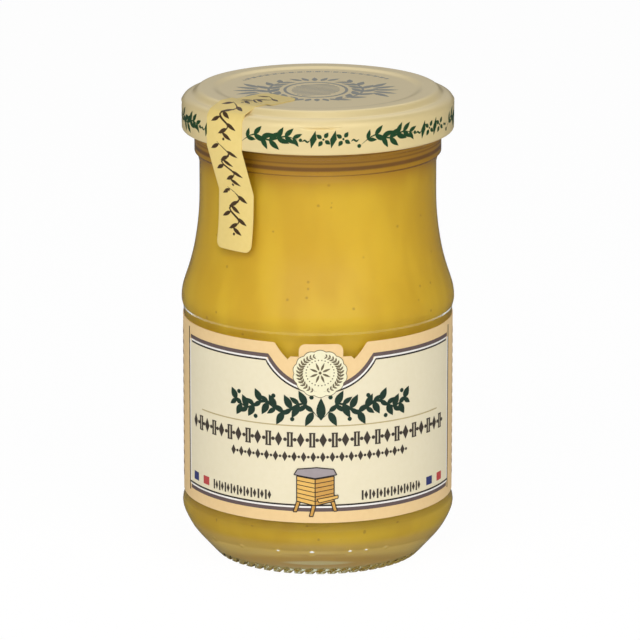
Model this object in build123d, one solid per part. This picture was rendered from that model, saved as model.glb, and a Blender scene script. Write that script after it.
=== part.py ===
from build123d import *
import os
from math import asin, degrees, radians, sin

# A mustard jar with its twist-off lid: a waisted clear glass jar filled with mustard, a paper
# label wrapped round the body, a pressed tinplate lid and a paper seal strip over its edge.
# Millimetres. +Z is up, the jar stands on Z = 0 and its axis is the Z axis. The front of the
# label faces -Y. Sections are drawn as (radius, height) on the XZ plane and turned about Z.

# --- glass jar: heights ---
rim_height = 104.9          # flat top of the glass rim, which the lid's lining sits on
heel_height = 11.6          # widest point of the bead below the label
panel_bottom = 13.3         # straight label panel, lower end
panel_top = 56.5            # straight label panel, upper end
bead_rise = 2.5             # from the panel's top to the widest point of the bead above it
shoulder_rise = 25.6        # from that bead up to the narrowest point of the neck
ring_below_rim = 12.6       # lower edge of the transfer ring
ring_thickness = 3.7        # height of the transfer ring
floor_height = 7.0          # inside floor above the table: the thick clear base
punt_height = 0.9           # hollow under the base

# --- glass jar: radii and walls ---
panel_radius = 30.36        # label panel
bead_proud = 0.44           # beads above and below the label, out from the panel
heel_reach = 7.6            # from the lower bead in to the outer edge of the bearing ring
bearing_width = 3.6         # flat ring the jar stands on
waist_radius = 26.6         # neck at its narrowest
ring_radius = 27.7          # transfer ring
finish_radius = 27.3        # plain glass behind the lid
thread_proud = 1.2          # crest of the thread starts, out from the finish
wall = 2.6                  # glass wall of body and neck
floor_corner = 10.0         # rounding between inside wall and floor
ring_rounding = 0.7         # edges of the transfer ring
rim_rounding = 0.6          # inner and outer edge of the rim
root = 0.5                  # how far an added ridge reaches into the wall that carries it

# Free curves, each as (share of the height, share of the width) between its two ends.
heel_shape = ((0.27, 0.38), (0.49, 0.67), (0.81, 0.94))
shoulder_shape = ((0.22, 0.31), (0.45, 0.69), (0.67, 0.90))
punt_shape = (0.8, 0.75)
heel_start = (1, 0.95)      # direction in which the heel leaves the bearing ring

# --- thread starts and lugs ---
lug_count = 4
thread_below_rim = 5.7      # underside of each thread start
thread_height = 1.5
thread_sweep = 52.0         # degrees that one thread start runs
lug_height = 1.2
lug_sweep = 16.0            # degrees
lug_clearance = 0.15        # between lug and glass, sideways and up to the thread

# --- mustard ---
headspace = 2.7             # from the rim down to the top of the mustard
fill_clearance = 0.05       # between mustard and glass

# --- lid ---
lid_wall = 0.4              # tinplate with its lacquer
skirt_clearance = 1.6       # inside of the skirt, out from the thread
lid_crest = 2.0             # crest of the raised ring above the rim
lid_ledge = 0.65            # ledge outside the ring, above the rim
lid_skirt = 7.3             # from the rim down to the lower edge of the curl
curl_radius = 0.65          # rolled edge
shoulder_rounding = 2.1     # shoulder of the skirt
ledge_width = 2.2           # from the outside in to the low line beside the ring
ring_fall = 2.1             # outer slope of the raised ring
crest_width = 2.3           # flat of its crest
ring_rise = 2.3             # inner slope, down to the centre panel
panel_drop = 0.45           # centre panel below the crest
lining_overlap = 1.3        # sealing lining under the ring, out past the finish
lining_inset = 0.2          # and in past the bore
lining_slope = 0.6          # inner side of the lining, sideways

# --- label ---
label_margin = 0.9          # bare glass panel below the label
label_height = 41.1
label_thickness = 0.12
glue_gap = 0.02
label_half_wrap = 166.0     # degrees each way from the front; the ends stop short at the back
notch_arc = 7.45            # lowest point of each die-cut notch, along the label
notch_depth = 3.7
notch_outer_arc = 10.9      # where the notch meets the straight top edge
notch_foot = 0.7            # width of the slope from the notch up to the shelf
shelf_depth = 3.0           # shelf beside the tab, below the straight top edge
tab_arc = 4.9               # half width of the middle tab
tab_drop = 0.1              # top of the tab below the straight top edge
tab_rounding = 1.5
notch_middle = 0.48         # share of the notch's depth at the middle of its slope
notch_start = (0.35, 1)     # directions of that slope, across and down, at its two ends
notch_end = (1.3, 1)

# --- seal strip ---
strip_width = 10.6
strip_thickness = 0.12
strip_gap = 0.03            # paper lifts this far off what it lies on
strip_azimuth = 44.4        # degrees from the front, towards -X
strip_reach_radius = 11.8   # tip on top of the lid, distance from the axis
strip_drop = 23.8           # lower tip, below the lid's edge
strip_span = 10.6           # bridges the hollow below the lid's edge down to here
strip_tip_rounding = 3.6
strip_end_rounding = 1.6
strip_bend = 0.5            # bends at the lid's crest and edge
strip_corner_in = 0.4       # the strip cuts the lid's shoulder short: shares of its rounding
strip_corner_up = 0.35
strip_neck_shares = (0.35, 0.7, 1)  # places where it follows the neck, down from the bridge

# --- sizes that follow from those ---
bead_radius = panel_radius + bead_proud
bearing_radius = bead_radius - heel_reach
punt_radius = bearing_radius - bearing_width
bore_radius = waist_radius - wall
shoulder_height = panel_top + bead_rise
waist_height = shoulder_height + shoulder_rise
ring_bottom = rim_height - ring_below_rim
ring_top = ring_bottom + ring_thickness
thread_radius = finish_radius + thread_proud
thread_bottom = rim_height - thread_below_rim
fill_level = rim_height - headspace
lid_radius = thread_radius + skirt_clearance + lid_wall
lid_bottom = rim_height - lid_skirt
ledge_radius = lid_radius - ledge_width
crest_outer_radius = ledge_radius - ring_fall
crest_inner_radius = crest_outer_radius - crest_width
panel_edge_radius = crest_inner_radius - ring_rise
label_bottom = panel_bottom + label_margin
label_top = label_bottom + label_height
strip_end_height = lid_bottom - strip_drop

front = -90.0               # direction of the label's middle in the XY plane, degrees


def turned(*edges):
    """Solid turned about Z from a closed outline in the XZ plane."""
    return revolve(Plane.XZ * make_face(edges), Axis.Z)


def sector(outline, sweep, middle):
    """Part of a turned solid, `sweep` degrees long and centred on the direction `middle`."""
    solid = revolve(Plane.XZ * make_face(outline), Axis.Z, revolution_arc=sweep)
    return Rot(0, 0, middle - sweep / 2) * solid


def rectangle(inner, outer, low, high):
    """Closed outline of a rectangle in radius and height."""
    return Polyline((inner, low), (outer, low), (outer, high), (inner, high), close=True)


def shoulder_curve(inset):
    """Shoulder and waist, from the upper bead up to the narrowest point of the neck."""
    widest = bead_radius - inset
    narrowing = bead_radius - waist_radius
    rise = waist_height - shoulder_height
    points = [(widest, shoulder_height)]
    for up, inwards in shoulder_shape:
        points.append((widest - narrowing * inwards, shoulder_height + rise * up))
    points.append((widest - narrowing, waist_height))
    return Spline(*points, tangents=[(0, 1), (0, 1)])


def heel_curve():
    """Outside of the heel, from the bearing ring out to the lower bead."""
    reach = bead_radius - bearing_radius
    points = [(bearing_radius, 0)]
    for up, outwards in heel_shape:
        points.append((bearing_radius + reach * outwards, heel_height * up))
    points.append((bead_radius, heel_height))
    return Spline(*points, tangents=[heel_start, (0, 1)])


def glass_outside():
    """The jar as if it were solid, up to the rim."""
    heel = heel_curve()
    lower_bead = Spline(heel @ 1, (panel_radius, panel_bottom), tangents=[(0, 1), (0, 1)])
    panel = Line(lower_bead @ 1, (panel_radius, panel_top))
    upper_bead = Spline(panel @ 1, (bead_radius, shoulder_height), tangents=[(0, 1), (0, 1)])
    shoulder = shoulder_curve(0)
    neck = Line(shoulder @ 1, (waist_radius, ring_bottom - ring_rounding))
    ring = Polyline(
        neck @ 1,
        (ring_radius, ring_bottom + ring_rounding / 2),
        (ring_radius, ring_top),
        (finish_radius, ring_top + ring_rounding),
        (finish_radius, rim_height),
        (0, rim_height),
        (0, punt_height),
    )
    up, outwards = punt_shape
    punt = ThreePointArc(ring @ 1, (punt_radius * outwards, punt_height * up), (punt_radius, 0))
    bearing = Line(punt @ 1, heel @ 0)
    return turned(heel, lower_bead, panel, upper_bead, shoulder, neck, ring, punt, bearing)


def inside(inset, top):
    """The space inside the glass up to `top`, or the mustard when it is inset a little."""
    floor = floor_height + inset
    radius = panel_radius - wall - inset
    base = Line((0, floor), (radius - floor_corner, floor))
    bend = RadiusArc(base @ 1, (radius, floor + floor_corner), -floor_corner)
    body = Line(bend @ 1, (radius, panel_top))
    shoulder = shoulder_curve(wall + inset)
    bead = Spline(body @ 1, shoulder @ 0, tangents=[(0, 1), (0, 1)])
    closing = Polyline(shoulder @ 1, (bore_radius - inset, top), (0, top), (0, floor))
    return turned(base, bend, body, bead, shoulder, closing)


def thread_starts():
    """Short thread starts round the finish, one for each lug of the lid."""
    outline = Polyline(
        (finish_radius - root, thread_bottom),
        (thread_radius, thread_bottom),
        (thread_radius, thread_bottom + thread_height / 2),
        (finish_radius - root, thread_bottom + thread_height),
        close=True,
    )
    return [sector(outline, thread_sweep, front + 360 / lug_count * i) for i in range(lug_count)]


def make_glass_jar():
    """Pressed and blown clear glass: thick base, even wall, ring, thread starts, flat rim."""
    jar = glass_outside() - inside(0, rim_height)
    rims = jar.edges().filter_by(GeomType.CIRCLE).group_by(Axis.Z)[-1]
    jar = fillet(rims, rim_rounding)
    for start in thread_starts():
        jar += start
    return jar


def lid_outside():
    """The closed outer shape of the lid, down to the middle of its rolled edge."""
    crest = rim_height + lid_crest
    ledge = rim_height + lid_ledge
    curl = lid_bottom + curl_radius
    centre = Line((0, crest - panel_drop), (panel_edge_radius, crest - panel_drop))
    rise = Spline(centre @ 1, (crest_inner_radius, crest), tangents=[(1, 0), (1, 0)])
    flat = Line(rise @ 1, (crest_outer_radius, crest))
    fall = Spline(flat @ 1, (ledge_radius, ledge), tangents=[(1, 0), (1, -0.35)])
    shoulder = Spline(
        fall @ 1,
        (lid_radius, ledge - shoulder_rounding),
        tangents=[(1, -0.1), (0, -1)],
    )
    skirt = Polyline(shoulder @ 1, (lid_radius, curl), (0, curl), (0, crest - panel_drop))
    return turned(centre, rise, flat, fall, shoulder, skirt)


def lid_inside():
    """The space under the lid; the sealing lining fills the raised ring down to the rim."""
    under_panel = rim_height + lid_crest - panel_drop - lid_wall
    radius = lid_radius - lid_wall
    low = lid_bottom + curl_radius
    outline = Polyline(
        (0, low),
        (radius, low),
        (radius, rim_height + lid_ledge - shoulder_rounding),
        (finish_radius + lining_overlap, rim_height),
        (bore_radius - lining_inset, rim_height),
        (bore_radius - lining_inset - lining_slope, under_panel),
        (0, under_panel),
        close=True,
    )
    return turned(outline)


def make_lid():
    """Pressed tinplate: raised ring, skirt, rolled edge and four lugs under the thread starts."""
    lid = lid_outside() - lid_inside()
    curl_middle = Pos(lid_radius - curl_radius, 0, lid_bottom + curl_radius)
    curl = revolve(curl_middle * (Plane.XZ * Circle(curl_radius)), Axis.Z)
    lid += curl
    lug_top = thread_bottom - lug_clearance
    lug_outline = rectangle(
        finish_radius + lug_clearance,
        lid_radius - lid_wall / 2,
        lug_top - lug_height,
        lug_top,
    )
    for i in range(lug_count):
        lid += sector(lug_outline, lug_sweep, front + 360 / lug_count * i)
    return lid


def notch_outline(side):
    """Die-cut notch beside the middle tab, as seen from the front. `side` is 1 or -1."""
    outer = panel_radius + label_thickness + glue_gap

    def across(arc):
        return side * outer * sin(arc / outer)

    def down(direction):
        return -side * direction[0], -direction[1]

    over = label_top + 1.0
    top = label_top
    rounded = tab_rounding * (1 - sin(radians(45)))
    bottom = label_top - notch_depth
    wing = Spline(
        (across(notch_outer_arc), top),
        (across((notch_outer_arc + notch_arc) / 2), top - notch_depth * notch_middle),
        (across(notch_arc), bottom),
        tangents=[down(notch_start), down(notch_end)],
    )
    shelf = Polyline(
        wing @ 1,
        (across(notch_arc - notch_foot), label_top - shelf_depth),
        (across(tab_arc), label_top - shelf_depth),
        (across(tab_arc), top - tab_drop - tab_rounding),
    )
    rounding = ThreePointArc(
        shelf @ 1,
        (across(tab_arc - rounded), top - tab_drop - rounded),
        (across(tab_arc - tab_rounding), top - tab_drop),
    )
    closing = Polyline(
        rounding @ 1,
        (0, top - tab_drop),
        (0, over),
        (across(notch_outer_arc), over),
        wing @ 0,
    )
    return make_face([wing, shelf, rounding, closing])


def make_paper_label():
    """Paper label glued round the panel, with a shaped upper edge at the front."""
    inner = panel_radius + glue_gap
    band = rectangle(inner, inner + label_thickness, label_bottom, label_top)
    label = sector(band, 2 * label_half_wrap, front)
    for side in (1, -1):
        cutter = extrude(Plane.XZ * notch_outline(side), panel_radius * 2)
        label -= cutter
    return label


def neck_radius(height):
    """Outside radius of the glass at a height above the upper bead."""
    if height >= waist_height:
        return waist_radius
    curve = shoulder_curve(0)
    low, high = 0.0, 1.0
    while high - low > 1e-5:
        middle = (low + high) / 2
        if (curve @ middle).Y < height:
            low = middle
        else:
            high = middle
    return (curve @ low).X


def strip_path(lift):
    """One side of the seal strip, `lift` off what it lies on, from its tip down to its end."""
    crest = rim_height + lid_crest + lift
    panel = crest - panel_drop
    skirt = lid_radius + lift
    shoulder = rim_height + lid_ledge - shoulder_rounding
    meeting = lid_bottom - strip_span
    neck = neck_radius(meeting) + lift
    over_lid = FilletPolyline(
        (strip_reach_radius, panel),
        (panel_edge_radius, panel),
        ((panel_edge_radius + crest_inner_radius) / 2, crest),
        (crest_outer_radius, crest),
        (lid_radius - shoulder_rounding * strip_corner_in, rim_height + lid_ledge + lift),
        (skirt, shoulder + shoulder_rounding * strip_corner_up),
        (skirt, lid_bottom),
        (neck, meeting),
        (neck, meeting - 2 * strip_bend),
        radius=strip_bend,
    )
    start = over_lid @ 1
    points = [start]
    for share in strip_neck_shares:
        height = start.Y + (strip_end_height - start.Y) * share
        points.append((neck_radius(height) + lift, height))
    end_slope = points[-1][0] - points[-2][0], points[-1][1] - points[-2][1]
    down_neck = Spline(*points, tangents=[(0, -1), end_slope])
    return [*over_lid.edges(), down_neck]


def make_seal_strip():
    """Paper strip glued over the lid's edge; it spans the hollows it bridges."""
    under = Wire(strip_path(strip_gap))
    over = Wire(strip_path(strip_gap + strip_thickness))
    ends = [Line(under @ 0, over @ 0), Line(under @ 1, over @ 1)]
    band = make_face([*under.edges(), *over.edges(), *ends])
    length = lid_radius + 2 - strip_reach_radius
    sweep = 2 * degrees(asin(strip_width / 2 / strip_reach_radius)) + 2
    strip = Rot(0, 0, -sweep / 2) * revolve(Plane.XZ * band, Axis.Z, revolution_arc=sweep)

    plan = Pos(strip_reach_radius + length / 2, 0) * Rectangle(length, strip_width)
    plan = fillet(plan.vertices().group_by(Axis.X)[0], strip_tip_rounding)
    height = lid_crest + rim_height + 2 - strip_end_height
    face = Pos(0, strip_end_height + height / 2) * Rectangle(strip_width, height)
    face = fillet(face.vertices().group_by(Axis.Y)[0], strip_end_rounding)
    strip &= extrude(Pos(0, 0, strip_end_height - 1) * plan, height + 2)
    strip &= extrude(Plane.YZ * face, lid_radius + 2)
    return Rot(0, 0, front - strip_azimuth) * strip


parts = {
    "glass_jar": make_glass_jar(),
    "mustard": inside(fill_clearance, fill_level),
    "lid": make_lid(),
    "paper_label": make_paper_label(),
    "seal_strip": make_seal_strip(),
}

os.makedirs("parts", exist_ok=True)
for name, shape in parts.items():
    shape.label = name
    export_step(shape, f"parts/{name}.step")
    print(name, "volume", round(shape.volume / 1000, 3), "cm3")
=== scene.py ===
from math import acos, asin, atan2, cos, degrees, pi, radians, sin, sqrt

import bmesh
import bpy
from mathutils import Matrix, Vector
from mathutils.bvhtree import BVHTree


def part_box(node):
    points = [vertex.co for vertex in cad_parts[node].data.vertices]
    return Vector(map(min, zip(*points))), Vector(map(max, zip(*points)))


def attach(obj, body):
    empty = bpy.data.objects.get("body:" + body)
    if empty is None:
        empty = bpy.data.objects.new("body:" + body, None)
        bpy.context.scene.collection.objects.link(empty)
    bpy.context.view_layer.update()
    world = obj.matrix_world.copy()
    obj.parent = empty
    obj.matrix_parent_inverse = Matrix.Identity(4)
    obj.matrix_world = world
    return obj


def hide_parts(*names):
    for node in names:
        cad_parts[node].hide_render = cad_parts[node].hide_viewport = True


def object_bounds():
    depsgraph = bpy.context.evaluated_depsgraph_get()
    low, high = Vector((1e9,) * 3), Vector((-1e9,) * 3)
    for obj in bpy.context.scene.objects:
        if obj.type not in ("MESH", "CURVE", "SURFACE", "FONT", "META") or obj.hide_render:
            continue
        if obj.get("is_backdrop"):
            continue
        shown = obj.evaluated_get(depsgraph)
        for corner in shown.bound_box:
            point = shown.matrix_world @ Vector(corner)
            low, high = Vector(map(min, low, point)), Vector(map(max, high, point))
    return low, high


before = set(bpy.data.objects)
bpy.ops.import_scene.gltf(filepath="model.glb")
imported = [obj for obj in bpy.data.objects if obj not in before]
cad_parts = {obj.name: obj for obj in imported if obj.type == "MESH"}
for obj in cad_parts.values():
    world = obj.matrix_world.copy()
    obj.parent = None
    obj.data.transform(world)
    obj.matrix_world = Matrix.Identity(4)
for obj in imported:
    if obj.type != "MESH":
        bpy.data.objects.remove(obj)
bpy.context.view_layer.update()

# Outlines and print are worked out in millimetres as (radius, height) or (arc, height), and
# meshes are made in metres. The front of the label faces -Y.
MM = 0.001


# ------------------------------------------------------------------------
# Glass jar: a pressed and blown jar of clear soda-lime glass with a thick base, a waisted neck
# and a ring under the lid. Its heel is knurled and carries a few raised dots from the mould.
KNURL_BARS = 58
TURNED_SEGMENTS = 10 * KNURL_BARS
KNURL_DEPTH = 0.8
KNURL_LEAN = -0.85  # bars the knurl shifts by, over its height
KNURL_TOP = 1.9
KNURL_INNER = 20.4  # inner radius of the bars, on the bearing ring
KNURL_RUN_IN = 1.2  # the bars reach their depth this far outside it
DOT_HEIGHT = 6.7
DOT_AZIMUTHS = (-75.7, -54.8, -37.1, -19.1, -3.9, 13.1, 20.6, 30.3)
DOT_RADIUS = 0.8
DOT_RISE = 0.07

depsgraph = bpy.context.evaluated_depsgraph_get()
trees = {name: BVHTree.FromObject(node, depsgraph) for name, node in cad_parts.items()}


def meet(node, start, aim, turn=radians(0.02)):
    """Where a line from `start` to `aim` first meets a CAD piece, all as (radius, height)."""
    out, up = Vector((cos(turn), sin(turn), 0)), Vector((0, 0, 1))
    origin, target = ((out * radius + up * height) * MM for radius, height in (start, aim))
    point = trees[node].ray_cast(origin, (target - origin).normalized())[0]
    return None if point is None else Vector((point.dot(out), point.z)) / MM


def side_of(node, height):
    """Point on the outer side of a CAD piece at a height."""
    return meet(node, (60, height), (0, height))


def top_of(node, radius):
    """Point on the upper side of a CAD piece at a radius."""
    return meet(node, (radius, 150), (radius, 0))


def swung(middle, reach, angle):
    """Point at a distance from a middle, at an angle in degrees."""
    return middle[0] + reach * cos(radians(angle)), middle[1] + reach * sin(radians(angle))


def steps(first, last, size):
    """Evenly spaced values from `first` to `last`, about `size` apart."""
    count = max(1, round(abs(last - first) / size))
    return [first + (last - first) * i / count for i in range(count + 1)]


def thinned(outline):
    """The outline without points that nearly repeat the one before."""
    kept = [tuple(outline[0])]
    for point in outline[1:]:
        if (Vector(point) - Vector(kept[-1])).length > 0.04:
            kept.append(tuple(point))
    return kept


def new_piece(name, data, *materials):
    """Object in the scene that carries a mesh, with its materials, or a lamp or camera."""
    piece = bpy.data.objects.new(name, data)
    bpy.context.scene.collection.objects.link(piece)
    for material in materials:
        data.materials.append(material)
    return piece


def finish_mesh(made, name, sharp=40):
    """Closes a bmesh into a mesh: doubles merged, normals outwards, smooth up to an angle."""
    bmesh.ops.remove_doubles(made, verts=made.verts, dist=1e-7)
    bmesh.ops.recalc_face_normals(made, faces=made.faces)
    mesh = bpy.data.meshes.new(name)
    made.to_mesh(mesh)
    made.free()
    mesh.polygons.foreach_set("use_smooth", [True] * len(mesh.polygons))
    mesh.set_sharp_from_angle(angle=radians(sharp))
    return mesh


def turned(name, outline, segments, sharp=40):
    """Mesh turned about Z from an outline of (radius, height) that starts and ends on the axis."""
    made = bmesh.new()
    turns = [2 * pi * i / segments for i in range(segments)]
    rings = []
    for radius, height in outline:
        places = turns if radius > 1e-6 else turns[:1]
        ring = [made.verts.new((radius * cos(t) * MM, radius * sin(t) * MM, height * MM)) for t in places]
        rings.append(ring * (segments // len(ring)))
    for low, high in zip(rings, rings[1:]):
        for i in range(segments):
            j = (i + 1) % segments
            made.faces.new(tuple(dict.fromkeys((low[i], low[j], high[j], high[i]))))
    return finish_mesh(made, name, sharp)


def add(tree, kind, inputs=None, **settings):
    """New node in a tree; `inputs` gives a value or a socket for its inputs by name or number."""
    made = tree.nodes.new(kind)
    for key, value in settings.items():
        setattr(made, key, value)
    for key, value in (inputs or {}).items():
        if isinstance(value, bpy.types.NodeSocket):
            tree.links.new(value, made.inputs[key])
        else:
            made.inputs[key].default_value = value
    return made


def math(tree, operation, *values):
    """Output of a Math node."""
    return add(tree, "ShaderNodeMath", dict(enumerate(values)), operation=operation).outputs[0]


def product(tree, value, *others):
    """Product of several values."""
    for other in others:
        value = math(tree, "MULTIPLY", value, other)
    return value


def ramp(tree, value, low, high):
    """Smooth share from 0 at `low` to 1 at `high`."""
    return add(tree, "ShaderNodeMapRange", {"Value": value, "From Min": low, "From Max": high},
               interpolation_type="SMOOTHSTEP").outputs[0]


def blend(tree, share, first, second):
    """Colour between two colours or colour sockets."""
    return add(tree, "ShaderNodeMix", {0: share, 6: first, 7: second}, data_type="RGBA").outputs[2]


def noise(tree, place, scale, detail):
    """Share from 0 to 1 that wanders from place to place."""
    inputs = {"Vector": place, "Scale": scale, "Detail": detail}
    return add(tree, "ShaderNodeTexNoise", inputs).outputs["Fac"]


def relief(tree, height, strength, distance):
    """Surface direction of a fine relief; its full height is `distance` in metres."""
    inputs = {"Height": height, "Strength": strength, "Distance": distance}
    return add(tree, "ShaderNodeBump", inputs).outputs[0]


def located(tree, place):
    """Three coordinates of a place and its distance from the jar's axis."""
    x, y, z = add(tree, "ShaderNodeSeparateXYZ", {0: place}).outputs
    return x, y, z, math(tree, "SQRT", math(tree, "ADD", product(tree, x, x), product(tree, y, y)))


def linear(red, green, blue):
    """Scene colour for an 8-bit colour."""
    shares = [channel / 255 for channel in (red, green, blue)]
    return (*(s / 12.92 if s <= 0.04045 else ((s + 0.055) / 1.055) ** 2.4 for s in shares), 1)


def new_material(name):
    """Material with an empty node tree, and the place on the object that its nodes start from."""
    material = bpy.data.materials.new(name)
    material.use_nodes = True
    material.node_tree.nodes.clear()
    return material, material.node_tree, add(material.node_tree, "ShaderNodeTexCoord").outputs["Object"]


def show(tree, shader):
    """Makes a shader what the material shows."""
    add(tree, "ShaderNodeOutputMaterial", {"Surface": shader.outputs[0]})


def geometry_tree(name, **sizes):
    """Geometry Nodes tree with a geometry in and out and one named number input for each size."""
    tree = bpy.data.node_groups.new(name, "GeometryNodeTree")
    for way in ("INPUT", "OUTPUT"):
        tree.interface.new_socket("Geometry", in_out=way, socket_type="NodeSocketGeometry")
    for label, size in sizes.items():
        kind = "NodeSocketInt" if isinstance(size, int) else "NodeSocketFloat"
        tree.interface.new_socket(label, in_out="INPUT", socket_type=kind).default_value = size
    return tree, add(tree, "NodeGroupInput").outputs


def shifted(tree, geometry, offset):
    """Geometry with its points moved by what a vector node says."""
    moved = add(tree, "GeometryNodeSetPosition", {"Geometry": geometry, "Offset": offset.outputs[0]})
    return moved.outputs[0]


def finish_tree(tree, geometry, material):
    """Ends a tree: what comes out is plain geometry with its material."""
    realized = add(tree, "GeometryNodeRealizeInstances", {0: geometry})
    finished = add(tree, "GeometryNodeSetMaterial", {0: realized.outputs[0], "Material": material})
    add(tree, "NodeGroupOutput", {0: finished.outputs[0]})
    return tree


def apply_tree(piece, tree):
    """Runs a Geometry Nodes tree on a piece and keeps the plain mesh."""
    modifier = piece.modifiers.new(tree.name, "NODES")
    modifier.node_group = tree
    mesh = bpy.data.meshes.new_from_object(piece.evaluated_get(bpy.context.evaluated_depsgraph_get()))
    piece.modifiers.remove(modifier)
    piece.data = mesh


def declare(piece, slot, *replaced):
    """Makes a finished piece ride on the jar's one body and hides the CAD pieces that it replaces; `slot` is
    not used.
    """
    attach(piece, "root")
    if replaced:
        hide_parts(*replaced)


def glass_outline():
    """Outline of the glass, from the middle of the underside round to the middle of its floor."""
    floor = meet("glass_jar", (0, 50), (0, 0))[1]
    outline = [(0, meet("glass_jar", (0.01, -9), (0.01, 9))[1])]
    for radius in (3, 7, 11, 14.5, 17, 18.6, 19.4, 19.9, 20.4, 20.9, 21.4, 21.9, 22.4, 22.8, 23.1):
        outline.append(meet("glass_jar", (radius, -9), (radius, 9)))
    outside = [*steps(0.04, 2.2, 0.18), *steps(2.6, 5.4, 0.7), *steps(5.7, 7.9, 0.3)]
    outside += [*steps(8.6, 14, 0.9), *steps(15, 56, 6)]
    outside += [*steps(56.6, 61, 0.5), *steps(62, 86, 1.6), *steps(87, 92, 1.6)]
    outside += [*steps(92.2, 93.2, 0.2), *steps(93.8, 95.8, 1), *steps(95.9, 97, 0.2), 99, 101, 103]
    outline += [side_of("glass_jar", height) for height in outside]
    outline += [side_of("glass_jar", height) for height in steps(104.2, 104.8, 0.2)]
    outline += [top_of("glass_jar", radius) for radius in steps(26.8, 24.5, 0.4)]
    inside = [*steps(104.6, 104.2, 0.2), *steps(102, 86, 4), *steps(85, 56, 2), *steps(54, 15, 6.5)]
    inside += steps(13.5, floor + 2, 0.7)
    outline += [meet("glass_jar", (0, height), (60, height)) for height in inside]
    corner = (18, floor + 7)
    outline += [meet("glass_jar", corner, swung(corner, 40, turn)) for turn in steps(-35, -85, 7)]
    outline += [(radius, floor) for radius in (16, 11, 6, 2.5, 0)]
    return thinned(outline)


def make_heel_tree(dots):
    """Presses slanting bars into the foot of the heel and raises the mould dots above it."""
    tree, sizes = geometry_tree(
        "marked_heel", Bars=float(KNURL_BARS), Depth=KNURL_DEPTH * MM, Lean=KNURL_LEAN, Top=KNURL_TOP * MM,
        Inner=KNURL_INNER * MM, RunIn=KNURL_RUN_IN * MM, DotRadius=DOT_RADIUS * MM, DotRise=DOT_RISE * MM)
    x, y, z, radius = located(tree, add(tree, "GeometryNodeInputPosition").outputs[0])
    turn = math(tree, "DIVIDE", math(tree, "ARCTAN2", y, x), 2 * pi)
    rise = math(tree, "DIVIDE", z, sizes["Top"])
    bar = math(tree, "ADD", product(tree, turn, sizes["Bars"]), product(tree, rise, sizes["Lean"]))
    groove = ramp(tree, math(tree, "COSINE", product(tree, bar, 2 * pi)), 0.35, 0.95)
    outer = ramp(tree, math(tree, "SUBTRACT", radius, sizes["Inner"]), 0.0, sizes["RunIn"])
    depth = product(tree, groove, ramp(tree, rise, 1.0, 0.6), sizes["Depth"], outer)
    share = product(tree, math(tree, "DIVIDE", depth, radius), -0.6)
    pressed = shifted(tree, sizes["Geometry"], add(tree, "ShaderNodeCombineXYZ", {
        0: product(tree, x, share), 1: product(tree, y, share), 2: product(tree, depth, 0.8)}))
    points = add(tree, "GeometryNodeObjectInfo", {"Object": dots}).outputs["Geometry"]
    nearest = add(tree, "GeometryNodeProximity", {"Geometry": points}, target_element="POINTS")
    near = math(tree, "DIVIDE", nearest.outputs["Distance"], sizes["DotRadius"])
    out = add(tree, "ShaderNodeVectorMath", {
        0: add(tree, "GeometryNodeInputNormal").outputs[0],
        "Scale": product(tree, ramp(tree, near, 1.0, 0.25), sizes["DotRise"]),
    }, operation="SCALE")
    return finish_tree(tree, shifted(tree, pressed, out), glass_material)


def make_dot_points():
    """Loose points on the heel where the mould dots stand."""
    radius = side_of("glass_jar", DOT_HEIGHT)[0]
    turns = [radians(azimuth) for azimuth in DOT_AZIMUTHS]
    points = [(radius * sin(t) * MM, -radius * cos(t) * MM, DOT_HEIGHT * MM) for t in turns]
    mesh = bpy.data.meshes.new("dot_points")
    mesh.from_pydata(points, [], [])
    return new_piece("dot_points", mesh)


def make_glass_material():
    """Clear glass with a slight unevenness, which lets lamp light through to the mustard."""
    material, tree, place = new_material("clear_glass")
    waves = noise(tree, place, 90.0, 1.0)
    tint = blend(tree, waves, linear(250, 255, 250), linear(255, 255, 252))
    height = add(tree, "ShaderNodeSeparateXYZ", {0: place}).outputs[2]
    foot = ramp(tree, height, 1.3 * KNURL_TOP * MM, 0.8 * KNURL_TOP * MM)
    glass = add(tree, "ShaderNodeBsdfPrincipled", {
        "Base Color": blend(tree, foot, tint, linear(176, 184, 146)),
        "Roughness": 0.0,
        "IOR": 1.5,
        "Specular IOR Level": 0.3,
        "Transmission Weight": 1.0,
        "Normal": relief(tree, waves, 0.12, 0.0006),
    })
    clear = add(tree, "ShaderNodeBsdfTransparent")
    lamps = add(tree, "ShaderNodeLightPath").outputs["Is Shadow Ray"]
    show(tree, add(tree, "ShaderNodeMixShader", {0: lamps, 1: glass.outputs[0], 2: clear.outputs[0]}))
    return material


glass_material = make_glass_material()
glass_mesh = turned("glass_jar", glass_outline(), TURNED_SEGMENTS)
glass_jar = new_piece("glass_jar_clear", glass_mesh, glass_material)
dot_points = make_dot_points()
apply_tree(glass_jar, make_heel_tree(dot_points))
bpy.data.objects.remove(dot_points)
declare(glass_jar, "clear_glass", "glass_jar")


# ------------------------------------------------------------------------
# Mustard: smooth honey mustard that fills the jar up to just under its rim. It wets the glass,
# so its surface reaches a hair into the wall, and fine bran specks show here and there.
WETTING = 0.12  # how far the mustard reaches past its CAD surface
CORNER_BULGE = 0.7  # how much further its lower corner reaches into the thick base
CORNER_TURNS = (-78, -8)  # degrees that the lower corner spans, seen from its centre
MUSTARD_SEGMENTS = 232
LID_SHADE_FROM, LID_SHADE_TO = 86.0, 95.0  # towards its top the fill is painted browner: painted shade under the lid and its glass ring
SHADE_LINES = (  # painted shade: darker lines where the wall bends and where the label and the ring shade the fill: height, spread, share
    (12.4, 2.6, 0.28), (56.4, 1.9, 0.1), (93.4, 0.7, 0.9), (94.7, 0.3, 0.5), (95.9, 0.35, 0.6),
)
LIT_FOOT_FROM, LIT_FOOT_TO = 9.6, 7.8  # painted light: the thick base gathers light, so the fill is painted paler there
LIT_UNDER_FROM, LIT_UNDER_TO = 7.4, 7.1  # heights of its underside, painted paler still where light comes up through the base


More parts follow.
